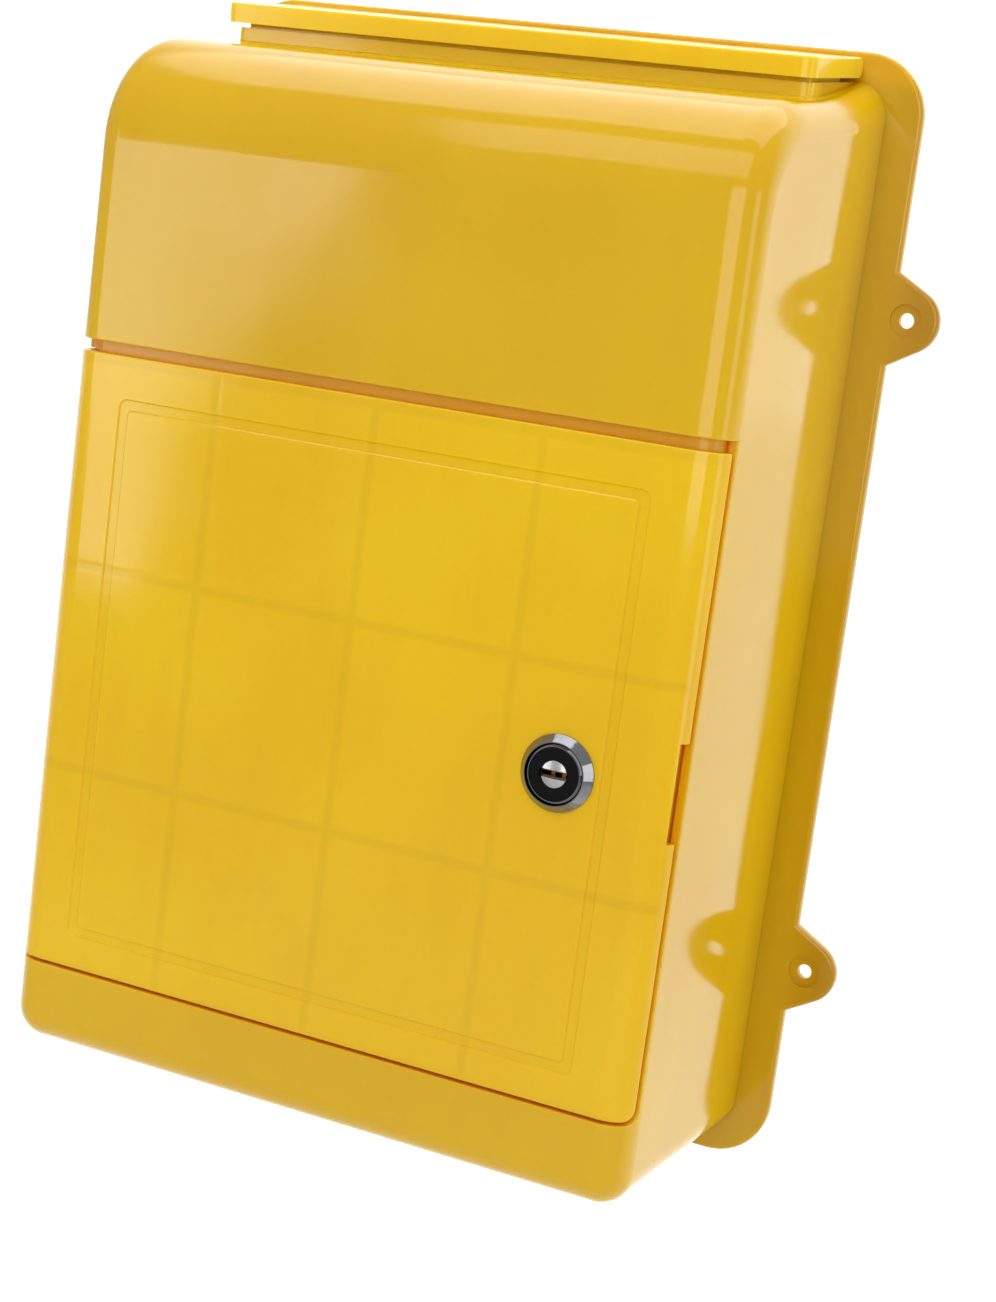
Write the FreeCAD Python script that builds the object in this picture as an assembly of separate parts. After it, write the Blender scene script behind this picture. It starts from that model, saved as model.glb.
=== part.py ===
import FreeCAD, Part
import math
import os

from FreeCAD import Vector

# Wall-mounted plastic mailbox with a lockable front door and a letter flap on top.
# Millimetres. X runs to the right, Y runs back to the wall (Y = 0) and Z runs up.
# Heights below are measured from the underside of the body. Every node is moved down by
# hole_level at the end, so that the origin is the middle of the four wall holes.

# Overall size over the ears, and the body's depth
overall_width = 265.0
overall_height = 346.0
body_depth = 100.0

# Flange and its four ears
flange_t = 3.0
flange_drop = 9.0
flange_rise = 9.0
flange_corner_r = 19.0
flange_edge_r = 1.2
ear_r = 10.0
ear_reach = 14.5
ear_slope = 30.0
ear_inset_z = 71.0
ear_drop = 5.7
ear_hole_r = 2.25
ear_sink_r = 5.0
ear_sink_depth = 0.8

# Body shell
flange_side = 11.0
wall = 2.5
side_edge_r = 10.0
bottom_edge_r = 10.5
hood_r = 33.0
hood_curve_drop = 44.5
hood_slope = 6.5
ramp_front_y = -43.0
overrun = 20.0

# Door opening, door and the frame behind it
strip_top = 26.6
bottom_seam = 1.0
hood_drop = 104.5
hood_gap = 3.5
door_t = 2.5
door_edge_r = 0.5
door_wrap_right = 7.4
door_wrap_left = 10.0
door_lean = 0.8
right_seam = 1.8
right_seam_lean = 0.5
door_corner_r = 4.0
frame_gap = 0.9
frame_t = 2.2
joggle_start = 1.0
joggle_t = 3.5
window_margin_z = 10.0
window_margin_right = 15.0
window_margin_left = 16.0

# Door details
panel_side_margin = 19.4
panel_bottom_margin = 10.2
panel_top_margin = 12.7
panel_groove_w = 3.2
panel_groove_depth = 0.5
panel_groove_bevel = 0.45
panel_corner_r = 3.0
rib_t = 1.4
rib_h = 4.0
rib_end_gap = 3.0
rib_columns = 4
rib_rows = 3
notch_bottom = 109.8
notch_height = 29.0
notch_depth = 3.6

# Door hinge
hinge_inset = 3.6
hinge_setback = 10.5
hinge_pin_r = 1.5
hinge_pin_length = 11.0
hinge_eye_r = 3.0
hinge_lug_t = 4.0
hinge_lug_gap = 0.5
hinge_pocket_w = 7.9
hinge_pocket_back = 15.6
hinge_block_h = 7.0
hinge_pin_hold = 6.0
running_fit = 0.06
press_fit = 0.01

# Letter flap, its rod, and the collar round the slot
lid_side_margin = 9.3
lid_front_y = -47.0
lid_front_drop = 3.6
lid_slope = 6.3
lid_h = 6.0
lid_t = 2.0
lid_corner_r = 4.0
lid_top_edge_r = 0.7
lid_back_gap = 0.5
collar_side_margin = 11.2
collar_front_y = -42.5
collar_gap = 1.4
collar_step = 2.0
rim_t = 2.0
rim_gap = 0.5
slot_back_y = -13.5
rod_r = 1.25
rod_end_gap = 3.0
lid_lug_w = 8.0
lid_lug_r = 2.6
lid_lug_share = 0.56
lid_notch_gap = 0.5
lid_notch_depth = 3.6

# Back plate and its screws
plate_t = 2.5
plate_recess = 0.3
plate_gap = 0.3
plate_corner_r = 8.0
boss_r = 4.0
boss_length = 20.0
boss_inset = 3.5
boss_end_margin = 16.0
screw_r = 1.2
screw_length = 10.0
screw_head_r = 2.8
screw_head_h = 1.6
screw_recess_w = 0.8
screw_recess_depth = 1.0
plate_hole_r = 1.5
plate_sink_fit = 0.06

# Cam lock
lock_from_side = 36.0
lock_height = 124.0
bezel_r = 11.3
bezel_h = 3.0
bezel_skirt = 0.6
bezel_face_r = 9.3
bezel_rim_r = 8.8
bezel_groove_depth = 0.9
inner_lip_r = 8.1
inner_lip_t = 0.25
face_ring_t = 1.2
face_ring_sink = 0.35
barrel_r = 9.0
barrel_flat = 8.0
barrel_length = 13.5
thread_pitch = 1.0
thread_depth = 0.4
lock_boss_r = 15.0
lock_boss_t = 1.5
lock_hole_gap = 0.12
washer_t = 0.8
washer_r = 12.5
washer_tooth = 0.7
washer_teeth = 16
nut_t = 3.5
nut_flats = 22.0
plug_r = 6.0
plug_face_r = 3.9
plug_dome_h = 0.5
plug_face_sink = 0.3
keyway_w = 9.2
keyway_h = 2.4
keyway_slit = 1.4
keyway_depth = 11.0
wafer_count = 5
wafer_t = 0.8
wafer_pitch = 1.7
wafer_w = 4.6
wafer_h = 10.6
wafer_fit = 0.08
tang_half = 2.9
tang_fit = 0.05
stop_plate_t = 0.8
stop_plate_r = 7.0
stop_tab_w = 3.0
stop_tab_l = 2.2
cam_t = 2.0
cam_w = 12.0
cam_length = 28.0
cam_tip_r = 4.0
spring_washer_t = 0.6
spring_washer_r = 4.6
cam_screw_r = 1.5
cam_screw_head_r = 3.6
cam_screw_head_h = 2.4
cam_screw_length = 7.0

# Keeper behind which the cam turns
keeper_gap = 0.5
keeper_t = 2.3
keeper_half_height = 15.0
keeper_rib_t = 2.3

# Derived places
flange_width = overall_width - 2.0 * ear_reach
flange_height = overall_height
body_width = flange_width - 2.0 * flange_side
body_back_height = overall_height - flange_drop - flange_rise
hood_curve_height = body_back_height - hood_curve_drop
hood_bottom = body_back_height - hood_drop
ear_hole_span_x = overall_width - 2.0 * ear_r
ear_hole_span_z = overall_height - 2.0 * ear_inset_z
hole_level = overall_height / 2.0 - flange_drop - ear_drop
half_width = body_width / 2.0
lid_half_width = half_width - lid_side_margin
lid_lug_xs = (-lid_half_width * lid_lug_share, 0.0, lid_half_width * lid_lug_share)
lid_front_bottom = body_back_height - lid_front_drop
collar_half_width = half_width - collar_side_margin
boss_heights = (boss_end_margin, body_back_height / 2.0, body_back_height - boss_end_margin - boss_r)
lock_x = half_width - lock_from_side
window_right = half_width - window_margin_right
window_left = -half_width + window_margin_left
front_y = -body_depth
door_bottom = strip_top + bottom_seam
door_top = hood_bottom - hood_gap
frame_inset = door_t + frame_gap
frame_inner_inset = frame_inset + frame_t
hinge_x = -half_width + hinge_inset
hinge_y = front_y + hinge_setback
lid_axis_r = lid_h / 2.0
lid_axis_y = -flange_t - lid_back_gap - lid_axis_r
lid_tilt = math.radians(lid_slope)
lid_reach = (lid_axis_y - lid_front_y + lid_axis_r * math.sin(lid_tilt)) / math.cos(lid_tilt)
lid_axis_height = lid_front_bottom + lid_reach * math.sin(lid_tilt) + lid_axis_r * math.cos(lid_tilt)
barrel_end_y = front_y + barrel_length
stop_plate_y = barrel_end_y + 0.1
cam_y = stop_plate_y + stop_plate_t
spring_washer_y = cam_y + cam_t
cam_screw_y = spring_washer_y + spring_washer_t


def box(x0, x1, y0, y1, z0, z1):
    """Box between two corners."""
    return Part.makeBox(x1 - x0, y1 - y0, z1 - z0, Vector(x0, y0, z0))


def upright(x, y, z0, z1, radius):
    """Vertical cylinder."""
    return Part.makeCylinder(radius, z1 - z0, Vector(x, y, z0), Vector(0, 0, 1))


def rearward(x, z, y0, y1, radius):
    """Cylinder along Y."""
    return Part.makeCylinder(radius, y1 - y0, Vector(x, y0, z), Vector(0, 1, 0))


def sideways(y, z, x0, x1, radius):
    """Cylinder along X."""
    return Part.makeCylinder(radius, x1 - x0, Vector(x0, y, z), Vector(1, 0, 0))


def fuse(first, others):
    """Union of several solids as one clean solid."""
    return first.multiFuse(others).removeSplitter()


def revolve_about_y(points, x, z):
    """Solid turned from (radius, y) points about a line along Y."""
    loop = [Vector(r, y, 0) for r, y in points]
    face = Part.Face(Part.makePolygon(loop + loop[:1]))
    solid = face.revolve(Vector(0, 0, 0), Vector(0, 1, 0), 360)
    solid.translate(Vector(x, 0, z))
    return solid


def rounded_plate(x0, x1, z0, z1, radius, y0, y1):
    """Flat plate in the XZ plane with four rounded corners."""
    plate = box(x0, x1, y0, y1, z0, z1)
    corners = [e for e in plate.Edges if abs(e.tangentAt(e.FirstParameter).y) > 0.9]
    return plate.makeFillet(radius, corners)


def bevel_at(plate, level):
    """Bevel the outline of a plate at one of its two faces."""
    rim = [e for e in plate.Edges
           if abs(e.BoundBox.YMin - level) < 0.01 and abs(e.BoundBox.YMax - level) < 0.01]
    return plate.makeChamfer(panel_groove_bevel, rim)


def side_profile(inset):
    """Side view of the body as a face in the YZ plane, moved inwards by inset."""
    def at(y, z):
        return Vector(0, y, z)

    def along(centre, radius, angle):
        a = math.radians(angle)
        return at(centre[0] + radius * math.cos(a), centre[1] + radius * math.sin(a))

    def arc(centre, radius, start, end):
        middle = (start + end) / 2.0
        points = [along(centre, radius, a) for a in (start, middle, end)]
        return Part.Arc(*points).toShape()

    slope = math.radians(hood_slope)
    toe = (front_y + bottom_edge_r, bottom_edge_r)
    hood = (front_y + hood_r, hood_curve_height)
    hood_end = along(hood, hood_r, 90.0 + hood_slope)
    ramp_start = at(ramp_front_y, hood_end.z + (ramp_front_y - hood_end.y) * math.tan(slope))
    ramp_end = at(-flange_t, body_back_height)
    chord = ramp_end.sub(ramp_start)
    rise = math.atan2(chord.z, chord.y) - slope
    ramp_r = chord.Length / (2.0 * math.sin(rise))
    ramp = (ramp_start.y - ramp_r * math.sin(slope), ramp_start.z + ramp_r * math.cos(slope))
    end_slope = hood_slope + 2.0 * math.degrees(rise)

    toe_r = bottom_edge_r - inset
    curve_r = hood_r - inset
    sweep_r = ramp_r + inset
    toe_arc = arc(toe, toe_r, 270.0, 180.0)
    hood_arc = arc(hood, curve_r, 180.0, 90.0 + hood_slope)
    ramp_arc = arc(ramp, sweep_r, 270.0 + hood_slope, 270.0 + end_slope)
    leave = along(ramp, sweep_r, 270.0 + end_slope)
    far_top = at(overrun, leave.z + (overrun - leave.y) * math.tan(math.radians(end_slope)))
    far_bottom = at(overrun, inset)
    edges = [
        toe_arc,
        Part.makeLine(along(toe, toe_r, 180.0), along(hood, curve_r, 180.0)),
        hood_arc,
        Part.makeLine(along(hood, curve_r, 90.0 + hood_slope), along(ramp, sweep_r, 270.0 + hood_slope)),
        ramp_arc,
        Part.makeLine(leave, far_top),
        Part.makeLine(far_top, far_bottom),
        Part.makeLine(far_bottom, along(toe, toe_r, 270.0)),
    ]
    return Part.Face(Part.Wire(Part.__sortEdges__(edges)))


def body_form(inset):
    """Outer form of the body, moved inwards by inset, running on past the wall plane."""
    half = half_width - inset
    face = side_profile(inset)
    face.translate(Vector(-half, 0, 0))
    form = face.extrude(Vector(2.0 * half, 0, 0))

    def on_side(edge):
        box_ = edge.BoundBox
        flat = box_.XLength < 0.01 and abs(abs(box_.XMin) - half) < 0.01
        return flat and box_.YMin < overrun - 0.01

    return form.makeFillet(side_edge_r - inset, [e for e in form.Edges if on_side(e)])


def flange():
    """Wall flange with four ears, before the body's hollow is taken out."""
    half = flange_width / 2.0
    plate = rounded_plate(-half, half, -flange_drop, flange_height - flange_drop,
                          flange_corner_r, -flange_t, 0.0)
    slope = math.radians(ear_slope)
    root = half - 2.0
    ears = []
    for side in (-1, 1):
        for level in (-1, 1):
            hole_x = ear_hole_span_x / 2.0
            hole_z = hole_level + level * ear_hole_span_z / 2.0
            touch_x = hole_x + ear_r * math.sin(slope)
            touch_z = ear_r * math.cos(slope)
            root_z = touch_z + (touch_x - root) * math.tan(slope)
            outline = [(root, -root_z), (touch_x, -touch_z), (touch_x, touch_z), (root, root_z)]
            loop = [Vector(side * x, -flange_t, hole_z + z) for x, z in outline]
            web = Part.Face(Part.makePolygon(loop + loop[:1])).extrude(Vector(0, flange_t, 0))
            ears.append(web)
            ears.append(rearward(side * hole_x, hole_z, -flange_t, 0.0, ear_r))
    plate = fuse(plate, ears)
    rim = [e for e in plate.Edges if e.BoundBox.YMax < -flange_t + 0.01]
    plate = plate.makeFillet(flange_edge_r, rim)
    for side in (-1, 1):
        for level in (-1, 1):
            hole_z = hole_level + level * ear_hole_span_z / 2.0
            hole_x = side * ear_hole_span_x / 2.0
            plate = plate.cut(rearward(hole_x, hole_z, -flange_t - 1.0, 1.0, ear_hole_r))
            sink_end = -flange_t + ear_sink_depth
            plate = plate.cut(rearward(hole_x, hole_z, -flange_t - 1.0, sink_end, ear_sink_r))
    return plate


def opening(seam_bottom, seam_top, right_depth, lean, left_depth):
    """Space taken out of the front of the body for the door. The right edge leans by lean."""
    low_y = front_y + right_depth - lean
    outline = [(front_y - 1.0, seam_bottom), (low_y, seam_bottom),
               (front_y + right_depth, seam_top), (front_y - 1.0, seam_top)]
    loop = [Vector(0.0, y, z) for y, z in outline]
    right = Part.Face(Part.makePolygon(loop + loop[:1])).extrude(Vector(half_width + 1.0, 0, 0))
    lower = [e for e in right.Edges
             if abs(e.BoundBox.YMax - low_y) < 0.01 and abs(e.BoundBox.YMin - low_y) < 0.01
             and e.BoundBox.ZMax < seam_bottom + 0.01]
    right = right.makeFillet(door_corner_r, lower)
    left = box(-half_width - 1.0, 1.0, front_y - 1.0, front_y + left_depth, seam_bottom, seam_top)
    return fuse(right, [left])


def soften(solid, radius, low, high):
    """Round the outer edges of the flat faces at the two heights, next to the door's seams."""
    def outer(edge):
        span = edge.BoundBox
        level = span.ZLength < 0.01 and (abs(span.ZMin - low) < 0.01 or abs(span.ZMin - high) < 0.01)
        return level and span.YMin < front_y + 0.01
    return solid.makeFillet(radius, [e for e in solid.Edges if outer(e)])


def door_frame(outer):
    """Recessed frame behind the door, with its joggle to the shell and the hinge pocket."""
    joggle_end = joggle_start + joggle_t
    low = strip_top - joggle_end
    high = hood_bottom + joggle_end
    pocket_x = -half_width + hinge_pocket_w
    pocket_end = front_y + hinge_pocket_back + joggle_t
    web_start = front_y + door_wrap_right + right_seam + joggle_start
    band_back = web_start + joggle_t
    form = body_form(frame_inset)
    core = body_form(frame_inner_inset)
    band = form.common(box(pocket_x, half_width, front_y, band_back, low, high))
    core_part = core.common(box(pocket_x + frame_t, half_width, front_y, 0.0, low - 1.0, high + 1.0))
    band = band.cut(core_part)
    left_jamb = form.common(box(pocket_x, pocket_x + frame_t, front_y, pocket_end, low, high))
    reach = box(-half_width, half_width, front_y, band_back, low, high)
    inside = box(-half_width - 1.0, half_width + 1.0, front_y - 1.0, web_start,
                 strip_top - joggle_start, hood_bottom + joggle_start)
    joggle = outer.common(reach).cut(inside).cut(core_part)
    pocket_floor = box(-half_width, pocket_x + frame_t, front_y + hinge_pocket_back,
                       pocket_end, low, high).common(outer)
    frame = fuse(band, [left_jamb, joggle, pocket_floor])
    window = box(window_left, window_right, front_y, front_y + frame_inner_inset + 1.0,
                 strip_top + window_margin_z, hood_bottom - window_margin_z)
    clear_pocket = box(-half_width - 1.0, pocket_x, front_y - 1.0, front_y + hinge_pocket_back,
                       strip_top, hood_bottom)
    return frame.cut(window).cut(clear_pocket)


def hinge_blocks(outer):
    """Housing blocks above and below the door that hold the hinge pins."""
    blocks = []
    spans = ((door_top + hinge_lug_gap, door_top + hinge_lug_gap + hinge_block_h),
             (door_bottom - hinge_lug_gap - hinge_block_h, door_bottom - hinge_lug_gap))
    back = front_y + hinge_pocket_back + 1.0
    inner_x = -half_width + hinge_pocket_w + 1.0
    for low, high in spans:
        eye = upright(hinge_x, hinge_y, low, high, hinge_eye_r)
        arm = box(hinge_x - hinge_eye_r, inner_x, hinge_y, back, low, high)
        heel = box(hinge_x, inner_x, hinge_y - hinge_eye_r, hinge_y, low, high)
        blocks.append(fuse(eye, [arm, heel]).common(outer))
    return blocks


def keeper():
    """Ledge on the right jamb that the cam turns behind."""
    face_y = cam_y - keeper_gap
    low = lock_height - keeper_half_height
    high = lock_height + keeper_half_height
    inner_x = half_width - frame_inner_inset + 0.5
    ledge = box(window_right, inner_x, face_y - keeper_t, face_y, low, high)
    front = front_y + frame_inner_inset - 0.5
    ribs = [box(window_right, inner_x, front, face_y, z, z + keeper_rib_t)
            for z in (low, high - keeper_rib_t)]
    return fuse(ledge, ribs)


def lid_frame_solid(solid):
    """Move a solid from the lid's own level frame (hinge line at its origin) into place."""
    placed = solid.copy()
    placed.rotate(Vector(0, 0, 0), Vector(1, 0, 0), lid_slope)
    placed.translate(Vector(0, lid_axis_y, lid_axis_height))
    return placed


def collar_blank(half_x, front, top):
    """Block whose top lies in a plane parallel to the flap, with rounded front corners."""
    reach = lid_reach * 2.0
    under = lid_frame_solid(box(-half_x - 1.0, half_x + 1.0, -reach, reach, -reach, top))
    block = box(-half_x, half_x, front, -flange_t / 2.0, hood_curve_height, body_back_height + overrun)
    front_edges = [e for e in block.Edges
                   if abs(e.tangentAt(e.FirstParameter).z) > 0.9 and e.BoundBox.YMin < front + 0.01]
    return block.makeFillet(lid_corner_r - 1.0, front_edges).common(under)


def collar(cavity):
    """Raised collar and rain rim round the letter slot."""
    collar_top = -lid_axis_r - collar_gap
    rim_top = lid_axis_r - lid_t - rim_gap
    step = collar_blank(collar_half_width, collar_front_y, collar_top)
    rim = collar_blank(collar_half_width - collar_step, collar_front_y + collar_step, rim_top)
    rim = rim.cut(box(-body_width, body_width, slot_back_y + rim_t, 1.0, 0.0, flange_height * 2.0))
    return fuse(step, [rim]).cut(cavity)


def slot_cutter():
    """Letter slot through the collar and the top of the body."""
    half = collar_half_width - collar_step - rim_t
    front = collar_front_y + collar_step + rim_t
    return box(-half, half, front, slot_back_y, hood_curve_height, flange_height * 2.0)


def lid_lugs():
    """Housing lugs that carry the flap's rod."""
    lugs = []
    for x in lid_lug_xs:
        x0 = x - lid_lug_w / 2.0
        x1 = x + lid_lug_w / 2.0
        eye = sideways(lid_axis_y, lid_axis_height, x0, x1, lid_lug_r)
        web = box(x0, x1, lid_axis_y - lid_lug_r, lid_axis_y + lid_lug_r,
                  lid_axis_height - lid_h, lid_axis_height)
        lugs.append(fuse(eye, [web]))
    return lugs


def boss_places():
    """Screw positions of the back plate as (x, z)."""
    x = half_width - wall - boss_inset
    return [(side * x, z) for side in (-1, 1) for z in boss_heights]


def bosses():
    """Screw bosses on the side walls."""
    start = -plate_recess - plate_t
    return [rearward(x, z, start - boss_length, start, boss_r) for x, z in boss_places()]


def housing():
    """Body shell with hood, bottom strip, flange, door frame, collar and bosses."""
    whole = body_form(0.0)
    behind_wall = box(-body_width, body_width, 0.0, overrun * 3.0, -overrun, flange_height * 2.0)
    outer = whole.cut(behind_wall)
    cavity = body_form(wall)
    gap = opening(strip_top, hood_bottom, door_wrap_right + right_seam,
                  door_lean + right_seam_lean, hinge_pocket_back)
    skin = soften(outer.cut(gap), door_edge_r, strip_top, hood_bottom)
    shell = fuse(skin, [flange()]).cut(cavity)
    ridge = [collar(cavity)] + [boss.common(outer) for boss in bosses()]
    shell = fuse(shell, [door_frame(outer), keeper()] + hinge_blocks(outer) + ridge)
    shell = shell.cut(slot_cutter())
    shell = fuse(shell, lid_lugs())
    for low, high in hinge_pin_spans():
        shell = shell.cut(upright(hinge_x, hinge_y, low - 0.2, high + 0.2, hinge_pin_r + press_fit))
    shell = shell.cut(sideways(lid_axis_y, lid_axis_height, -body_width, body_width, rod_r + running_fit))
    start = -plate_recess - plate_t
    for x, z in boss_places():
        shell = shell.cut(rearward(x, z, start - screw_length, start + 1.0, screw_r + press_fit))
    return shell


def hinge_pin_spans():
    """Bottom and top of each hinge pin."""
    upper_top = door_top + hinge_lug_gap + hinge_pin_hold
    lower_bottom = door_bottom - hinge_lug_gap - hinge_pin_hold
    return ((upper_top - hinge_pin_length, upper_top),
            (lower_bottom, lower_bottom + hinge_pin_length))


def hinge_pins():
    """Two steel pins, one above and one below the door."""
    pins = []
    for low, high in hinge_pin_spans():
        pin = upright(hinge_x, hinge_y, low, high, hinge_pin_r)
        pins.append(pin.makeChamfer(0.3, [e for e in pin.Edges if e.Closed]))
    return pins


def door_lugs(outer):
    """Top and bottom plates inside the door's hinge corner."""
    lugs = []
    for low in (door_bottom, door_top - hinge_lug_t):
        high = low + hinge_lug_t
        eye = upright(hinge_x, hinge_y, low, high, hinge_eye_r)
        tongue = box(-half_width, hinge_x + hinge_eye_r, front_y, hinge_y, low, high)
        lugs.append(fuse(eye, [tongue.common(outer)]))
    return lugs


def door_ribs():
    """Stiffening grid on the inner face of the door, inside the frame's window."""
    x0 = window_left + rib_end_gap
    x1 = window_right - rib_end_gap
    z0 = strip_top + window_margin_z + rib_end_gap
    z1 = hood_bottom - window_margin_z - rib_end_gap
    root = front_y + door_t - 0.5
    tip = front_y + door_t + rib_h
    ribs = []
    for column in range(1, rib_columns):
        x = -half_width + body_width * column / rib_columns
        ribs.append(box(x - rib_t / 2.0, x + rib_t / 2.0, root, tip, z0, z1))
    for row in range(1, rib_rows):
        z = door_bottom + (door_top - door_bottom) * row / rib_rows
        ribs.append(box(x0, x1, root, tip, z - rib_t / 2.0, z + rib_t / 2.0))
    clear = rearward(lock_x, lock_height, root - 1.0, tip + 1.0, lock_boss_r)
    return [rib.cut(clear) for rib in ribs]


def double_d(radius, flat, y0, y1):
    """Round bar along Y with two flats, at the lock's place."""
    bar = rearward(lock_x, lock_height, y0, y1, radius)
    span = box(lock_x - radius - 1.0, lock_x + radius + 1.0, y0, y1, lock_height - flat, lock_height + flat)
    return bar.common(span)


def door():
    """Door skin that wraps both front corners, with ribs, lugs, panel groove and lock boss."""
    outer = body_form(0.0)
    blank = outer.common(opening(door_bottom, door_top, door_wrap_right, door_lean, door_wrap_left))
    blank = soften(blank, door_edge_r, door_bottom, door_top)
    skin = blank.cut(body_form(door_t))
    boss = rearward(lock_x, lock_height, front_y + door_t - 0.5, front_y + door_t + lock_boss_t, lock_boss_r)
    leaf = fuse(skin, door_lugs(outer) + door_ribs() + [boss])
    for low, high in hinge_pin_spans():
        leaf = leaf.cut(upright(hinge_x, hinge_y, low - 1.0, high + 1.0, hinge_pin_r + running_fit))
    edge = half_width - panel_side_margin
    floor_y = front_y + panel_groove_depth
    low = door_bottom + panel_bottom_margin
    high = door_top - panel_top_margin
    groove = rounded_plate(-edge, edge, low, high, panel_corner_r, front_y - 1.0, floor_y)
    groove = bevel_at(groove, floor_y)
    field = rounded_plate(-edge + panel_groove_w, edge - panel_groove_w, low + panel_groove_w,
                          high - panel_groove_w, panel_corner_r / 2.0, front_y, floor_y + 1.0)
    field = bevel_at(field, front_y)
    leaf = leaf.cut(groove.cut(field))
    hole = double_d(barrel_r + lock_hole_gap, barrel_flat + lock_hole_gap, front_y - 1.0,
                    front_y + door_t + lock_boss_t + 1.0)
    leaf = leaf.cut(hole)
    notch = box(half_width - wall - 2.0, half_width + 1.0, front_y + door_wrap_right - notch_depth,
                front_y + door_wrap_right + 1.0, notch_bottom, notch_bottom + notch_height)
    return leaf.cut(notch)


def lid():
    """Letter flap: plate, skirt on three sides and a barrel round the rod."""
    half = lid_half_width
    top = lid_axis_r
    blank = box(-half, half, -lid_reach, 0.0, -top, top)
    corners = [e for e in blank.Edges
               if abs(e.tangentAt(e.FirstParameter).z) > 0.9 and e.BoundBox.YMin < -lid_reach + 0.01]
    blank = blank.makeFillet(lid_corner_r, corners)
    rim = [e for e in blank.Edges
           if e.BoundBox.ZMin > top - 0.01 and e.BoundBox.YMin < -0.01]
    blank = blank.makeFillet(lid_top_edge_r, rim)
    hollow = box(-half + lid_t, half - lid_t, -lid_reach + lid_t, -top, -top - 1.0, top - lid_t)
    inner = [e for e in hollow.Edges
             if abs(e.tangentAt(e.FirstParameter).z) > 0.9 and e.BoundBox.YMin < -lid_reach + lid_t + 0.01]
    hollow = hollow.makeFillet(lid_corner_r - lid_t, inner)
    barrel = sideways(0.0, 0.0, -half, half, lid_axis_r)
    flap = fuse(blank, [barrel]).cut(hollow)
    for x in lid_lug_xs:
        reach = lid_lug_w / 2.0 + lid_notch_gap
        flap = flap.cut(box(x - reach, x + reach, -lid_notch_depth, top + 1.0, -top - 1.0, top + 1.0))
    flap = flap.cut(sideways(0.0, 0.0, -half - 1.0, half - rod_end_gap + 1.0, rod_r + press_fit))
    return lid_frame_solid(flap)


def lid_rod():
    """Steel rod pressed into the flap, turning in the housing's lugs."""
    end = lid_half_width - rod_end_gap
    rod = sideways(lid_axis_y, lid_axis_height, -end, end, rod_r)
    return rod.makeChamfer(0.3, [e for e in rod.Edges if e.Closed])


def back_plate():
    """Flat plate that closes the back, inside the flange."""
    half = half_width - wall - plate_gap
    low = wall + plate_gap
    high = body_back_height - wall - plate_gap * 2.0
    start = -plate_recess - plate_t
    plate = rounded_plate(-half, half, low, high, plate_corner_r, start, -plate_recess)
    for x, z in boss_places():
        plate = plate.cut(rearward(x, z, start - 1.0, 0.0, plate_hole_r))
        floor_y = -plate_recess - screw_head_h
        neck_r = screw_r + plate_sink_fit
        head_r = screw_head_r + plate_sink_fit
        sink = revolve_about_y([(0.0, floor_y), (neck_r, floor_y), (head_r, -plate_recess),
                                (head_r, 1.0), (0.0, 1.0)], x, z)
        plate = plate.cut(sink)
    return plate


def back_plate_screws():
    """Six countersunk self-tapping screws."""
    top = -plate_recess - 0.02
    neck = top - screw_head_h
    tip = top - screw_length
    outline = [(0.0, top), (screw_head_r, top), (screw_r, neck), (screw_r, tip + screw_r),
               (screw_r / 3.0, tip), (0.0, tip)]
    screws = []
    for x, z in boss_places():
        screw = revolve_about_y(outline, x, z)
        arm = screw_head_r * 0.65
        half = screw_recess_w / 2.0
        deep = top - screw_recess_depth
        screw = screw.cut(box(x - arm, x + arm, deep, top + 1.0, z - half, z + half))
        screws.append(screw.cut(box(x - half, x + half, deep, top + 1.0, z - arm, z + arm)))
    return screws


def lock_body():
    """Chromed lock body: conical bezel in front, threaded barrel behind."""
    face = front_y - bezel_h
    ring_seat = face + face_ring_sink + face_ring_t
    groove_floor = face + bezel_groove_depth
    thread_start = front_y + door_t
    profile = [(plug_face_r + 1.0, ring_seat)]
    profile += [(inner_lip_r - inner_lip_t, ring_seat), (inner_lip_r - inner_lip_t, face + 0.1)]
    profile += [(inner_lip_r, face + 0.1), (inner_lip_r, groove_floor), (bezel_rim_r, groove_floor)]
    profile += [(bezel_rim_r, face), (bezel_face_r, face), (bezel_r, front_y - bezel_skirt)]
    profile += [(bezel_r, front_y), (barrel_r, front_y), (barrel_r, thread_start)]
    turns = int((barrel_length - door_t - 1.0) / thread_pitch)
    for turn in range(turns):
        root = thread_start + thread_pitch * turn
        profile.append((barrel_r - thread_depth, root + thread_pitch / 2.0))
        profile.append((barrel_r, root + thread_pitch))
    bore_r = plug_r + running_fit
    profile += [(barrel_r - thread_depth, barrel_end_y), (bore_r, barrel_end_y)]
    profile += [(bore_r, ring_seat + 0.8), (plug_face_r + 1.0, ring_seat + 0.8)]
    body = revolve_about_y(profile, lock_x, lock_height)
    wide = barrel_r * 2.0
    for side in (-1, 1):
        low = lock_height + barrel_flat if side > 0 else lock_height - wide
        high = lock_height + wide if side > 0 else lock_height - barrel_flat
        body = body.cut(box(lock_x - wide, lock_x + wide, front_y, barrel_end_y + 1.0, low, high))
    return body


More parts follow.
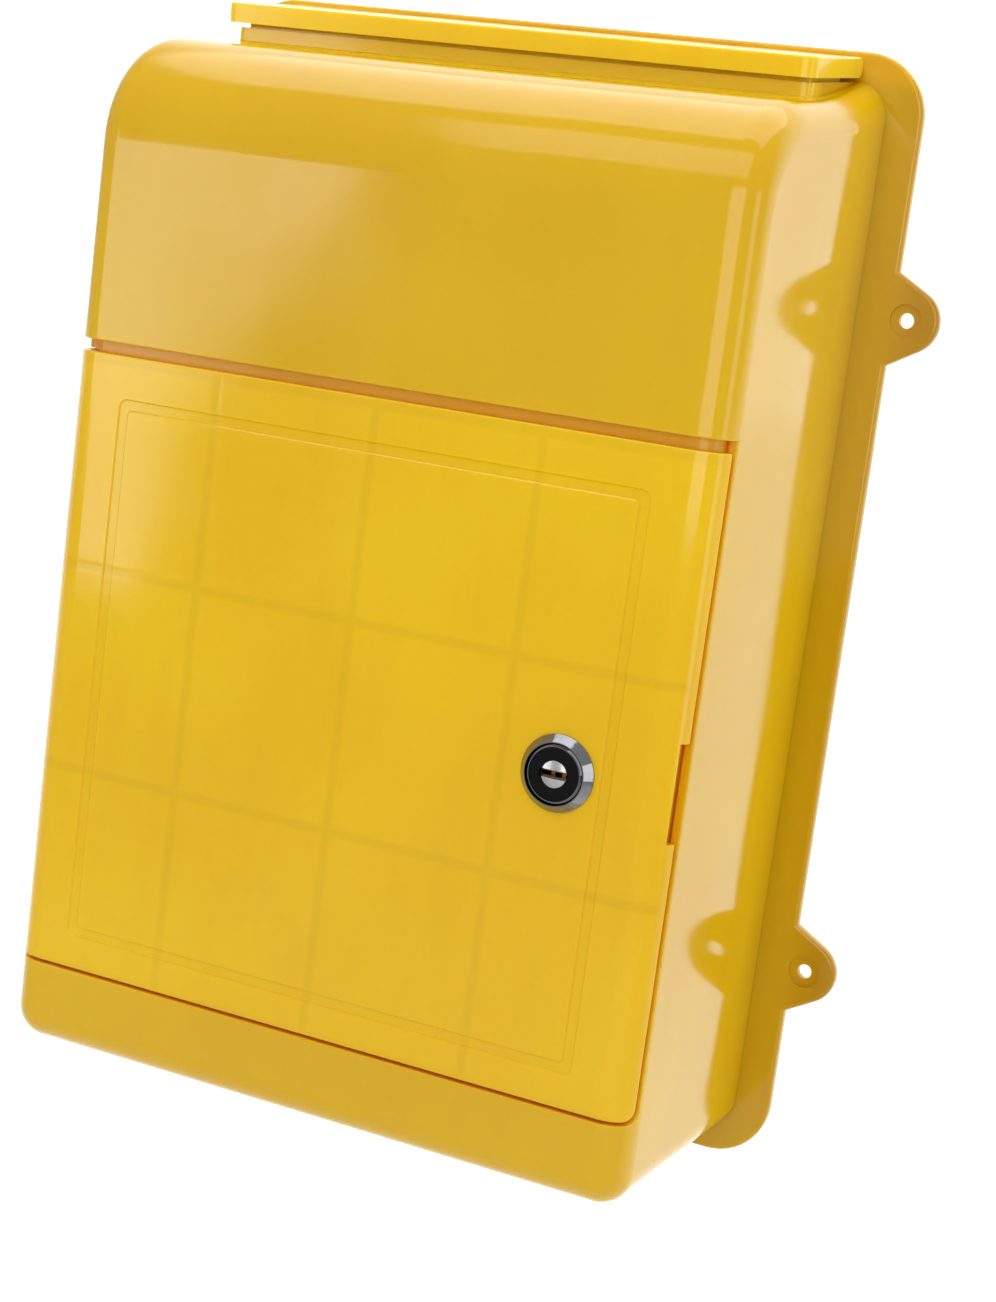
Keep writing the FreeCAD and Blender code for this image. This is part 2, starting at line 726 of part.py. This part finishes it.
def lock_face_ring():
    """Black face disc with the key guides either side of the plug."""
    face = front_y - bezel_h + face_ring_sink
    ring = revolve_about_y([(plug_face_r + running_fit, face), (inner_lip_r - inner_lip_t - press_fit, face),
                            (inner_lip_r - inner_lip_t - press_fit, face + face_ring_t),
                            (plug_face_r + running_fit, face + face_ring_t)], lock_x, lock_height)
    guide = box(lock_x - keyway_w / 2.0, lock_x + keyway_w / 2.0, face - 1.0, face + face_ring_t * 0.6,
                lock_height - keyway_h / 2.0, lock_height + keyway_h / 2.0)
    return ring.cut(guide)


def lock_plug():
    """Turning plug with a domed face, keyway, wafer slots and a square tang."""
    face = front_y - bezel_h + plug_face_sink
    seat = front_y - bezel_h + face_ring_sink + face_ring_t + 0.8
    dome = (plug_face_r ** 2 + plug_dome_h ** 2) / (2.0 * plug_dome_h)
    shaft = rearward(lock_x, lock_height, face - plug_dome_h, seat + 1.0, plug_face_r)
    ball = Part.makeSphere(dome, Vector(lock_x, face - plug_dome_h + dome, lock_height))
    shaft = shaft.common(ball)
    barrel = rearward(lock_x, lock_height, seat + running_fit, barrel_end_y, plug_r)
    tang = box(lock_x - tang_half, lock_x + tang_half, barrel_end_y - 1.0, spring_washer_y - 0.1,
               lock_height - tang_half, lock_height + tang_half)
    plug = fuse(shaft, [barrel, tang])
    slit = box(lock_x - plug_face_r - 0.2, lock_x + plug_face_r + 0.2, face - 1.0, face + keyway_depth,
               lock_height - keyway_slit / 2.0, lock_height + keyway_slit / 2.0)
    mouth = box(lock_x - plug_face_r - 0.2, lock_x + plug_face_r + 0.2, face - 1.0, face + face_ring_t * 0.6,
                lock_height - keyway_h / 2.0, lock_height + keyway_h / 2.0)
    plug = plug.cut(slit).cut(mouth)
    for y in wafer_places():
        plug = plug.cut(box(lock_x - wafer_w / 2.0 - wafer_fit, lock_x + wafer_w / 2.0 + wafer_fit,
                            y - wafer_fit, y + wafer_t + wafer_fit,
                            lock_height - plug_r, lock_height + plug_r))
    plug = plug.cut(rearward(lock_x, lock_height, cam_screw_y - cam_screw_length,
                             spring_washer_y + 1.0, cam_screw_r + press_fit))
    return plug


def wafer_places():
    """Front face of each wafer along the plug."""
    first = front_y - bezel_h + face_ring_sink + face_ring_t + 2.4
    return [first + wafer_pitch * index for index in range(wafer_count)]


def lock_wafers():
    """Flat wafer tumblers, each with a window for the key."""
    wafers = []
    for y in wafer_places():
        plate = box(lock_x - wafer_w / 2.0, lock_x + wafer_w / 2.0, y, y + wafer_t,
                    lock_height - wafer_h / 2.0, lock_height + wafer_h / 2.0)
        window = box(lock_x - wafer_w / 4.0, lock_x + wafer_w / 4.0, y - 1.0, y + wafer_t + 1.0,
                     lock_height - wafer_h / 4.0, lock_height + wafer_h / 4.0)
        wafers.append(plate.cut(window))
    return wafers


def lock_washer():
    """Toothed washer between the door and the nut."""
    start = front_y + door_t + lock_boss_t
    disc = rearward(lock_x, lock_height, start, start + washer_t, washer_r)
    disc = disc.cut(rearward(lock_x, lock_height, start - 1.0, start + 2.0, barrel_r + lock_hole_gap))
    for tooth in range(washer_teeth):
        angle = 2.0 * math.pi * tooth / washer_teeth
        x = lock_x + washer_r * math.cos(angle)
        z = lock_height + washer_r * math.sin(angle)
        disc = disc.cut(rearward(x, z, start - 1.0, start + 2.0, washer_tooth))
    return disc


def hexagon(flats, y0, y1):
    """Hexagonal bar along Y at the lock's place."""
    corner = flats / math.sqrt(3.0)
    loop = []
    for index in range(6):
        angle = math.radians(60.0 * index)
        loop.append(Vector(lock_x + corner * math.cos(angle), y0, lock_height + corner * math.sin(angle)))
    return Part.Face(Part.makePolygon(loop + loop[:1])).extrude(Vector(0, y1 - y0, 0))


def lock_nut():
    """Hexagon nut that clamps the lock in the door."""
    start = front_y + door_t + lock_boss_t + washer_t
    nut = hexagon(nut_flats, start, start + nut_t)
    crown = rearward(lock_x, lock_height, start, start + nut_t, nut_flats / 2.0 + 0.9)
    nut = nut.common(crown)
    return nut.cut(rearward(lock_x, lock_height, start - 1.0, start + nut_t + 1.0, barrel_r + lock_hole_gap))


def square_hole(y0, y1):
    """Square bar that clears the plug's tang."""
    half = tang_half + tang_fit
    return box(lock_x - half, lock_x + half, y0, y1, lock_height - half, lock_height + half)


def lock_stop_plate():
    """Thin plate on the tang whose tab limits the turn."""
    end = stop_plate_y + stop_plate_t
    plate = rearward(lock_x, lock_height, stop_plate_y, end, stop_plate_r)
    tab = box(lock_x - stop_tab_w / 2.0, lock_x + stop_tab_w / 2.0, stop_plate_y, end,
              lock_height - stop_plate_r - stop_tab_l, lock_height)
    return fuse(plate, [tab]).cut(square_hole(stop_plate_y - 1.0, end + 1.0))


def lock_cam():
    """Cam that stands upright when the door is free."""
    end = cam_y + cam_t
    half = cam_w / 2.0
    hub = rearward(lock_x, lock_height, cam_y, end, half)
    tip_z = lock_height + cam_length - cam_tip_r
    tip = rearward(lock_x, tip_z, cam_y, end, cam_tip_r)
    loop = [Vector(lock_x - half, cam_y, lock_height), Vector(lock_x + half, cam_y, lock_height),
            Vector(lock_x + cam_tip_r, cam_y, tip_z), Vector(lock_x - cam_tip_r, cam_y, tip_z)]
    arm = Part.Face(Part.makePolygon(loop + loop[:1])).extrude(Vector(0, cam_t, 0))
    return fuse(hub, [arm, tip]).cut(square_hole(cam_y - 1.0, end + 1.0))


def cam_spring_washer():
    """Split spring washer under the cam screw."""
    end = spring_washer_y + spring_washer_t
    ring = rearward(lock_x, lock_height, spring_washer_y, end, spring_washer_r)
    ring = ring.cut(rearward(lock_x, lock_height, spring_washer_y - 1.0, end + 1.0, cam_screw_r + 0.3))
    split = box(lock_x, lock_x + spring_washer_r + 1.0, spring_washer_y - 1.0, end + 1.0,
                lock_height - 0.4, lock_height + 0.4)
    return ring.cut(split)


def cam_screw():
    """Pan-head screw that holds the cam on the plug."""
    end = cam_screw_y + cam_screw_head_h
    outline = [(0.0, cam_screw_y - cam_screw_length + 0.3), (cam_screw_r, cam_screw_y - cam_screw_length + 0.3),
               (cam_screw_r, cam_screw_y), (cam_screw_head_r, cam_screw_y),
               (cam_screw_head_r, end - 0.8), (cam_screw_head_r - 0.9, end), (0.0, end)]
    screw = revolve_about_y(outline, lock_x, lock_height)
    arm = cam_screw_head_r * 0.6
    half = screw_recess_w / 2.0
    deep = end - 1.2
    screw = screw.cut(box(lock_x - arm, lock_x + arm, deep, end + 1.0, lock_height - half, lock_height + half))
    return screw.cut(box(lock_x - half, lock_x + half, deep, end + 1.0, lock_height - arm, lock_height + arm))


def save(node, solids):
    """Write one node, with the origin moved to the middle of the wall holes."""
    pieces = solids if isinstance(solids, list) else [solids]
    parts = []
    for piece in pieces:
        moved = piece.copy()
        moved.translate(Vector(0, 0, -hole_level))
        parts.extend(moved.Solids)
    shape = parts[0] if len(parts) == 1 else Part.makeCompound(parts)
    print(node, len(parts), round(shape.Volume, 1), shape.isValid())
    shape.exportStep("parts/" + node + ".step")


os.makedirs("parts", exist_ok=True)
save("housing", housing())
save("back_plate", back_plate())
save("back_plate_screws", back_plate_screws())
save("door", door())
save("door_hinge_pins", hinge_pins())
save("letter_flap", lid())
save("letter_flap_rod", lid_rod())
save("lock_body", lock_body())
save("lock_face_ring", lock_face_ring())
save("lock_plug", lock_plug())
save("lock_wafers", lock_wafers())
save("lock_washer", lock_washer())
save("lock_nut", lock_nut())
save("lock_stop_plate", lock_stop_plate())
save("lock_cam", lock_cam())
save("cam_spring_washer", cam_spring_washer())
save("cam_screw", cam_screw())
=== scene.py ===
import math

import bpy
from mathutils import Matrix, Vector


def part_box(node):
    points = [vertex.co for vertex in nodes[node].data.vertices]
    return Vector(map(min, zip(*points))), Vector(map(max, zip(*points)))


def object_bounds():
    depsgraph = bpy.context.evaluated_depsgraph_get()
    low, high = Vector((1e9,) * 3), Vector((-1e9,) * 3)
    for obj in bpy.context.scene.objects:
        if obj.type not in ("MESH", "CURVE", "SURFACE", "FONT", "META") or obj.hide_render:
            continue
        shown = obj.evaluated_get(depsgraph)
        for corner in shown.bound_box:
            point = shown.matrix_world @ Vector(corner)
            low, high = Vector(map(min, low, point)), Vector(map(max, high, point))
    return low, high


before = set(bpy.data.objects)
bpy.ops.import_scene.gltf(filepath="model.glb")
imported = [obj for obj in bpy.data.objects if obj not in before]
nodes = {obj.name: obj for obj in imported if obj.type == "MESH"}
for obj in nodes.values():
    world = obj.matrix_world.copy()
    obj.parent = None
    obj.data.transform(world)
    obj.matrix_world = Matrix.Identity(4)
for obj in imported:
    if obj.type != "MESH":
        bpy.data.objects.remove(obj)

cad_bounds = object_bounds()
door_low, door_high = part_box("door")
lock_low, lock_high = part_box("lock_body")
plug_low, plug_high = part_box("lock_plug")

# Faint lines of painted shade where the door's ribs show through, with a faint bump: four shares
# of the door's width, and three of the height that they cover.
RIB_COLUMNS = 4
RIB_ROWS = 3
RIB_HALF_WIDTH = 0.0022
RIBBED_HEIGHT = 0.1905
ribbed_high = Vector((door_high.x, door_high.y, door_low.z + RIBBED_HEIGHT))

# Near-black colour on the groove round the lock's face: its inner and outer radius, and how far
# back from the lock's front the black reaches.
GROOVE_IN = 0.00836
GROOVE_OUT = 0.00905
GROOVE_DEPTH = 0.0030

# Key slot in the plug: where its brass starts behind the plug's front, and half its height.
SLOT_DEPTH = 0.0007
SLOT_HALF_HEIGHT = 0.0014

# Where shade is painted on the housing (flange and ears) and where light is painted (front of the
# slot collar).
FLANGE_FRONT_Y = -0.0050
FLANGE_TOP_Z = 0.174  # the top edge keeps the wall's own colour
EARS_FROM_X = 0.112
EARS_TO_X = 0.128
COLLAR_FRONT_Y = -0.0432
COLLAR_HALF_WIDTH = 0.0969
COLLAR_LOW_Z = 0.1594

# Painted glow: gaps this far forward, round the door, are painted orange, standing in for light
# that comes through the wall.
PAINTED_GLOW_Y = -0.075
PAINTED_GLOW_REACH = 0.010

CLEARANCE = 0.35  # from the object's lowest point down to the floor
FLOOR_HALF = 9.0
FLOOR_GLOW = 0.45

# Strength of the world in front of the object and behind it, the directions between which it
# rises (as the Y of a unit vector), and what is added where the camera sees it directly.
FRONT_SKY = 0.47
BACK_SKY = 1.5
SKY_RISE = (0.25, 0.75)
SEEN_SKY = 0.38

# Camera: place in metres, yaw, downward tilt and roll in degrees, lens and sensor height in
# millimetres, and the shift that frames the photo.
CAMERA_PLACE = (0.3331, -0.7279, 0.1134)
CAMERA_TURN = (24.36, 10.45, 7.43)
CAMERA_LENS = 68.16
CAMERA_SENSOR = 36.0
CAMERA_SHIFT = (0.0011, 0.0276)


def srgb(r, g, b):
    """Linear colour from 0-255 display values."""
    def linear(value):
        c = value / 255.0
        return c / 12.92 if c <= 0.04045 else ((c + 0.055) / 1.055) ** 2.4
    return (linear(r), linear(g), linear(b), 1.0)


class Graph:
    """Small helper that builds a Principled material node by node."""

    def __init__(self, name):
        self.material = bpy.data.materials.new(name)
        self.material.use_nodes = True
        self.tree = self.material.node_tree
        self.tree.nodes.clear()
        output = self.add("ShaderNodeOutputMaterial")
        self.shader = self.add("ShaderNodeBsdfPrincipled")
        self.link(self.shader.outputs[0], output.inputs["Surface"])
        self.place = self.add("ShaderNodeTexCoord").outputs["Object"]

    def add(self, kind, **settings):
        node = self.tree.nodes.new(kind)
        for key, value in settings.items():
            setattr(node, key, value)
        return node

    def link(self, source, target):
        self.tree.links.new(source, target)

    def feed(self, socket, value):
        if isinstance(value, bpy.types.NodeSocket):
            self.link(value, socket)
        else:
            socket.default_value = value

    def math(self, operation, a, b=None):
        node = self.add("ShaderNodeMath", operation=operation)
        self.feed(node.inputs[0], a)
        if b is not None:
            self.feed(node.inputs[1], b)
        return node.outputs[0]

    def axis(self, letter):
        node = self.add("ShaderNodeSeparateXYZ")
        self.link(self.place, node.inputs[0])
        return node.outputs[letter]

    def stretch(self, scale):
        node = self.add("ShaderNodeMapping")
        self.link(self.place, node.inputs["Vector"])
        node.inputs["Scale"].default_value = scale
        return node.outputs[0]

    def noise(self, scale, detail=3.0, rough=0.5, vector=None):
        node = self.add("ShaderNodeTexNoise")
        self.link(vector or self.place, node.inputs["Vector"])
        node.inputs["Scale"].default_value = scale
        node.inputs["Detail"].default_value = detail
        node.inputs["Roughness"].default_value = rough
        return node.outputs["Fac"]

    def ramp(self, value, low, high, to_low=0.0, to_high=1.0):
        node = self.add("ShaderNodeMapRange", interpolation_type="SMOOTHSTEP", clamp=True)
        self.feed(node.inputs["Value"], value)
        node.inputs["From Min"].default_value = low
        node.inputs["From Max"].default_value = high
        node.inputs["To Min"].default_value = to_low
        node.inputs["To Max"].default_value = to_high
        return node.outputs[0]

    def mix(self, factor, a, b):
        node = self.add("ShaderNodeMix", data_type="RGBA")
        self.feed(node.inputs[0], factor)
        self.feed(node.inputs[6], a)
        self.feed(node.inputs[7], b)
        return node.outputs[2]

    def hollow(self, reach, low, high):
        """One in corners and gaps, zero on open walls. Low and high are shares of open sky."""
        node = self.add("ShaderNodeAmbientOcclusion", samples=6)
        node.inputs["Distance"].default_value = reach
        return self.ramp(node.outputs["AO"], high, low)

    def specks(self, scale, radius, share):
        """Sparse dots: a few cells hold one small dot each."""
        node = self.add("ShaderNodeTexVoronoi")
        self.link(self.place, node.inputs["Vector"])
        node.inputs["Scale"].default_value = scale
        dot = self.ramp(node.outputs["Distance"], radius * scale, radius * scale * 0.6)
        pick = self.add("ShaderNodeSeparateColor")
        self.link(node.outputs["Color"], pick.inputs[0])
        chosen = self.math("LESS_THAN", pick.outputs[0], share)
        return self.math("MULTIPLY", dot, chosen)

    def bumps(self, layers):
        """Stack of bump layers given as (height, strength, distance)."""
        normal = None
        for height, strength, distance in layers:
            node = self.add("ShaderNodeBump")
            node.inputs["Strength"].default_value = strength
            node.inputs["Distance"].default_value = distance
            self.link(height, node.inputs["Height"])
            if normal is not None:
                self.link(normal, node.inputs["Normal"])
            normal = node.outputs[0]
        self.link(normal, self.shader.inputs["Normal"])

    def set(self, name, value):
        self.feed(self.shader.inputs[name], value)


def rib_shade_lines(g, low, high, columns, rows, half):
    """Faint lines of painted shade over the ribs behind a wall, at even shares of its width and
    height.
    """
    def nearest(letter, start, pitch):
        offset = g.math("DIVIDE", g.math("SUBTRACT", g.axis(letter), start), pitch)
        away = g.math("ABSOLUTE", g.math("SUBTRACT", offset, g.math("ROUND", offset)))
        return g.math("MULTIPLY", away, pitch)
    across = nearest("X", low.x, (high.x - low.x) / columns)
    upward = nearest("Z", low.z, (high.z - low.z) / rows)
    lines = g.math("MINIMUM", across, upward)
    return g.ramp(lines, half, half * 0.25)


def painted_wall_shading(g, colour):
    """Painted shade and light: deeper colour on the flange and ears, lighter on the front of the
    slot collar.
    """
    aside = g.math("ABSOLUTE", g.axis("X"))
    # Painted shade: the flange's front and the ears get a deeper colour.
    flange_shade = g.math("MULTIPLY", g.ramp(g.axis("Y"), FLANGE_FRONT_Y, FLANGE_FRONT_Y + 0.002),
                   g.ramp(g.axis("Z"), FLANGE_TOP_Z, FLANGE_TOP_Z - 0.008))
    far_out = g.ramp(aside, EARS_FROM_X, EARS_TO_X)
    colour = g.mix(flange_shade, colour, g.mix(far_out, srgb(199, 161, 2), srgb(179, 137, 2)))
    # Painted light: the front of the slot collar, under the flap, gets a lighter colour.
    front = g.math("MULTIPLY", g.ramp(g.axis("Y"), COLLAR_FRONT_Y, COLLAR_FRONT_Y + 0.0005),
                   g.ramp(g.axis("Y"), -0.030, -0.038))
    collar_light = g.math("MULTIPLY", front, g.ramp(aside, COLLAR_HALF_WIDTH, COLLAR_HALF_WIDTH - 0.0007))
    collar_light = g.math("MULTIPLY", collar_light, g.ramp(g.axis("Z"), COLLAR_LOW_Z, COLLAR_LOW_Z + 0.0006))
    return g.mix(g.math("MULTIPLY", collar_light, 0.9), colour, srgb(254, 212, 18))


def plastic(name, deep, light, gloss, ribs=None, painted_shading=None):
    """Glossy moulded plastic with flow marks, dark specks, faint waviness and a painted orange
    glow in the gaps.

    ribs(g) gives the mask of the lines that show through the wall, painted as shade, and the last
    argument, called with (g, colour), paints light and shade into the colour by place.
    """
    g = Graph(name)
    broad = g.ramp(g.noise(9.0, 2.0), 0.35, 0.65)
    colour = g.mix(broad, deep, light)
    flow = g.ramp(g.noise(60.0, 4.0, 0.6, g.stretch((1.0, 1.0, 0.25))), 0.45, 0.75, 0.0, 0.10)
    colour = g.mix(flow, colour, srgb(206, 150, 8))
    layers = [(g.noise(8.0, 1.5), 0.5, 0.006)]
    if ribs is not None:
        mask = ribs(g)
        # Painted shade: the rib lines are darkened in the colour; the bump adds faint sink marks.
        colour = g.mix(g.math("MULTIPLY", mask, 0.12), colour, srgb(170, 140, 20))
        layers.append((g.math("SUBTRACT", 1.0, mask), 0.06, 0.0002))
    # Painted glow: orange painted into the colour in the gaps round the door, standing in for
    # light through the wall; the gaps are also made rougher.
    gaps = g.math("MULTIPLY", g.hollow(PAINTED_GLOW_REACH, 0.15, 0.6),
                  g.ramp(g.axis("Y"), PAINTED_GLOW_Y, PAINTED_GLOW_Y - 0.010))
    colour = g.mix(gaps, colour, srgb(250, 154, 0))
    # Painted light and shade by place come from the function passed in here.
    if painted_shading is not None:
        colour = painted_shading(g, colour)
    dark = g.specks(38.0, 0.00032, 0.10)
    colour = g.mix(g.math("MULTIPLY", dark, 0.8), colour, srgb(92, 58, 12))
    g.set("Base Color", colour)
    smear = g.noise(35.0, 5.0, 0.65)
    polish = g.ramp(smear, 0.3, 0.75, gloss, gloss + 0.07)
    g.set("Roughness", g.math("ADD", polish, g.math("MULTIPLY", gaps, 0.5)))
    layers.append((g.noise(1500.0, 2.0), 0.05, 0.0001))
    g.bumps(layers)
    g.set("IOR", 1.5)
    g.set("Subsurface Weight", 0.3)
    g.set("Subsurface Radius", (1.0, 0.5, 0.08))
    g.set("Subsurface Scale", 0.006)
    return g.material


def face_groove(g):
    """One in the groove round the lock's face, which is coloured near-black, zero on the rest of
    the lock.
    """
    centre = (lock_low + lock_high) / 2.0
    across = g.math("SUBTRACT", g.axis("X"), centre.x)
    upward = g.math("SUBTRACT", g.axis("Z"), centre.z)
    radius = g.math("SQRT", g.math("ADD", g.math("MULTIPLY", across, across),
                                   g.math("MULTIPLY", upward, upward)))
    ring = g.math("MULTIPLY", g.ramp(radius, GROOVE_IN, GROOVE_IN + 0.00006),
                  g.ramp(radius, GROOVE_OUT, GROOVE_OUT - 0.0001))
    depth = g.math("SUBTRACT", g.axis("Y"), lock_low.y)
    return g.math("MULTIPLY", ring, g.ramp(depth, GROOVE_DEPTH, GROOVE_DEPTH - 0.0004))


def metal(name, colour, worn, rough, grain=(1.0, 1.0, 1.0), scale=400.0, grooved=False):
    """Plated or drawn metal with fine grain, smears and tiny pits."""
    g = Graph(name)
    smear = g.noise(120.0, 4.0, 0.6)
    tone = g.mix(g.ramp(smear, 0.4, 0.7, 0.0, 0.45), colour, worn)
    pits = g.specks(900.0, 0.00012, 0.08)
    tone = g.mix(g.math("MULTIPLY", pits, 0.6), tone, srgb(70, 64, 56))
    if grooved:
        # The groove round the face is coloured near-black.
        tone = g.mix(face_groove(g), tone, srgb(9, 9, 10))
    g.set("Base Color", tone)
    g.set("Metallic", 1.0)
    g.set("Roughness", g.ramp(smear, 0.3, 0.8, rough, rough + 0.12))
    line = g.noise(scale, 4.0, 0.6, g.stretch(grain))
    g.bumps([(line, 0.10, 0.00008)])
    return g.material


def black_plastic():
    """Black face disc, lightly dusty."""
    g = Graph("lock_black_plastic")
    dust = g.ramp(g.noise(900.0, 4.0, 0.7), 0.58, 0.8, 0.0, 0.35)
    g.set("Base Color", g.mix(dust, srgb(7, 7, 8), srgb(48, 46, 43)))
    g.set("Roughness", g.ramp(g.noise(300.0, 3.0), 0.3, 0.7, 0.4, 0.55))
    g.set("Specular IOR Level", 0.12)
    g.bumps([(g.noise(1800.0, 2.0), 0.08, 0.00006)])
    return g.material


def plug_metal():
    """Nickel plug whose key slot shows brass inside."""
    g = Graph("lock_plug_metal")
    centre = (plug_low + plug_high) / 2.0
    depth = g.math("SUBTRACT", g.axis("Y"), plug_low.y)
    height = g.math("ABSOLUTE", g.math("SUBTRACT", g.axis("Z"), centre.z))
    inside = g.math("MULTIPLY", g.ramp(depth, SLOT_DEPTH, SLOT_DEPTH + 0.0005),
                    g.ramp(height, SLOT_HALF_HEIGHT, SLOT_HALF_HEIGHT - 0.0004))
    smear = g.noise(300.0, 4.0, 0.6)
    nickel = g.mix(g.ramp(smear, 0.4, 0.7, 0.0, 0.5), srgb(205, 205, 207), srgb(160, 158, 154))
    brass = g.mix(smear, srgb(150, 112, 58), srgb(92, 64, 34))
    g.set("Base Color", g.mix(inside, nickel, brass))
    g.set("Metallic", 1.0)
    g.set("Roughness", g.ramp(smear, 0.3, 0.7, 0.16, 0.32))
    g.bumps([(g.noise(1400.0, 3.0), 0.12, 0.00006)])
    return g.material


def wear(node, material):
    """Gives a CAD node its material."""
    data = nodes[node].data
    data.materials.clear()
    data.materials.append(material)


# The housing gets painted shade on the flange and ears and painted light on the collar's front.
housing_plastic = plastic("housing_plastic", srgb(219, 172, 4), srgb(225, 180, 8), 0.07,
                          painted_shading=painted_wall_shading)
door_plastic = plastic("door_plastic", srgb(238, 187, 4), srgb(244, 196, 8), 0.07,
                       ribs=lambda g: rib_shade_lines(g, door_low, ribbed_high, RIB_COLUMNS, RIB_ROWS,
                                                  RIB_HALF_WIDTH))
flap_plastic = plastic("flap_plastic", srgb(246, 203, 8), srgb(251, 211, 14), 0.12)
plate_plastic = plastic("back_plate_plastic", srgb(212, 168, 6), srgb(220, 178, 12), 0.30)
chrome = metal("lock_chrome", srgb(150, 150, 153), srgb(98, 98, 102), 0.05, grooved=True)
zinc = metal("zinc_steel", srgb(196, 198, 200), srgb(150, 152, 156), 0.26, (1.0, 0.2, 1.0), 700.0)
steel = metal("pin_steel", srgb(190, 190, 190), srgb(140, 138, 134), 0.22, (6.0, 6.0, 0.3), 500.0)
brass = metal("wafer_brass", srgb(196, 158, 92), srgb(150, 112, 58), 0.24)

wear("housing", housing_plastic)
wear("door", door_plastic)
wear("letter_flap", flap_plastic)
wear("back_plate", plate_plastic)
wear("lock_body", chrome)
wear("lock_face_ring", black_plastic())
wear("lock_plug", plug_metal())
wear("lock_wafers", brass)
for name in ("lock_washer", "lock_nut", "lock_stop_plate", "lock_cam", "cam_spring_washer",
             "cam_screw", "back_plate_screws"):
    wear(name, zinc)
for name in ("door_hinge_pins", "letter_flap_rod"):
    wear(name, steel)


def studio_floor():
    """Wide pale floor below the object.

    In front it is darker, so that the door doesn't mirror it, but looks pale to the camera.
    """
    g = Graph("studio_floor")
    behind = g.ramp(g.axis("Y"), -0.5, 0.5)
    paper = g.mix(g.noise(3.0, 2.0), srgb(250, 250, 249), srgb(254, 254, 254))
    g.set("Base Color", g.mix(behind, srgb(196, 196, 195), paper))
    g.set("Roughness", 0.85)
    g.set("Emission Color", (1.0, 1.0, 1.0, 1.0))
    seen = g.add("ShaderNodeLightPath").outputs["Is Camera Ray"]
    g.set("Emission Strength", g.math("MULTIPLY", g.math("MAXIMUM", behind, seen), FLOOR_GLOW))
    g.bumps([(g.noise(60.0, 3.0), 0.02, 0.001)])
    z = cad_bounds[0][2] - CLEARANCE
    mesh = bpy.data.meshes.new("studio_floor")
    corners = [(-FLOOR_HALF, -FLOOR_HALF, z), (FLOOR_HALF, -FLOOR_HALF, z),
               (FLOOR_HALF, FLOOR_HALF, z), (-FLOOR_HALF, FLOOR_HALF, z)]
    mesh.from_pydata(corners, [], [(0, 1, 2, 3)])
    mesh.materials.append(g.material)
    floor = bpy.data.objects.new("studio_floor", mesh)
    bpy.context.scene.collection.objects.link(floor)


def softbox(name, place, target, width, height, power, roll=0.0):
    """Rectangular area lamp at a place, aimed at a target. Metres, watts, degrees."""
    data = bpy.data.lights.new(name, "AREA")
    data.shape = "RECTANGLE"
    data.size = width
    data.size_y = height
    data.energy = power
    lamp = bpy.data.objects.new(name, data)
    bpy.context.scene.collection.objects.link(lamp)
    lamp.location = place
    aim = (Vector(target) - Vector(place)).to_track_quat("-Z", "Y").to_matrix()
    lamp.rotation_euler = (aim @ Matrix.Rotation(math.radians(roll), 3, "Z")).to_euler()


def studio_light():
    """World that is bright behind the object and dim in front of it, and five softboxes."""
    world = bpy.data.worlds.new("studio")
    world.use_nodes = True
    tree = world.node_tree
    sky = tree.nodes["Background"]
    sky.inputs["Color"].default_value = (1.0, 0.998, 0.99, 1.0)
    way = tree.nodes.new("ShaderNodeTexCoord")
    split = tree.nodes.new("ShaderNodeSeparateXYZ")
    fade = tree.nodes.new("ShaderNodeMapRange")
    fade.interpolation_type = "SMOOTHSTEP"
    fade.inputs["From Min"].default_value = SKY_RISE[0]
    fade.inputs["From Max"].default_value = SKY_RISE[1]
    fade.inputs["To Min"].default_value = FRONT_SKY
    fade.inputs["To Max"].default_value = BACK_SKY
    tree.links.new(way.outputs["Generated"], split.inputs[0])
    tree.links.new(split.outputs["Y"], fade.inputs["Value"])
    seen = tree.nodes.new("ShaderNodeLightPath")
    pale = tree.nodes.new("ShaderNodeMath")
    pale.operation = "MULTIPLY_ADD"
    pale.inputs[1].default_value = SEEN_SKY
    tree.links.new(seen.outputs["Is Camera Ray"], pale.inputs[0])
    tree.links.new(fade.outputs[0], pale.inputs[2])
    tree.links.new(pale.outputs[0], sky.inputs["Strength"])
    bpy.context.scene.world = world
    softbox("left_softbox", (-1.12, -1.40, 0.08), (0.0, -0.1, 0.0), 0.54, 0.56, 2.5, -18.0)
    softbox("top_softbox", (0.0, 0.20, 1.20), (0.0, -0.02, 0.1), 1.6, 1.1, 9.0)
    softbox("high_softbox", (0.0, -1.25, 1.55), (0.0, -0.1, 0.0), 1.9, 0.9, 7.0)
    softbox("right_softbox", (1.25, -0.30, 0.10), (0.0, -0.08, 0.0), 0.34, 0.8, 1.3)
    softbox("front_softbox", (0.50, -1.70, 0.35), (0.0, -0.1, 0.0), 1.3, 1.1, 9.0)


def studio_camera():
    """Camera fitted to the photo's printed sizes and straight edges."""
    data = bpy.data.cameras.new("camera")
    data.sensor_fit = "VERTICAL"
    data.sensor_height = CAMERA_SENSOR
    data.lens = CAMERA_LENS
    data.shift_x, data.shift_y = CAMERA_SHIFT
    camera = bpy.data.objects.new("camera", data)
    bpy.context.scene.collection.objects.link(camera)
    yaw, down, roll = (math.radians(angle) for angle in CAMERA_TURN)
    turn = Matrix.Rotation(yaw, 4, "Z") @ Matrix.Rotation(math.pi / 2.0 - down, 4, "X")
    turn = turn @ Matrix.Rotation(roll, 4, "Z")
    camera.matrix_world = Matrix.Translation(CAMERA_PLACE) @ turn
    bpy.context.scene.camera = camera


studio_floor()
studio_light()
studio_camera()
bpy.context.scene.view_settings.view_transform = "Standard"
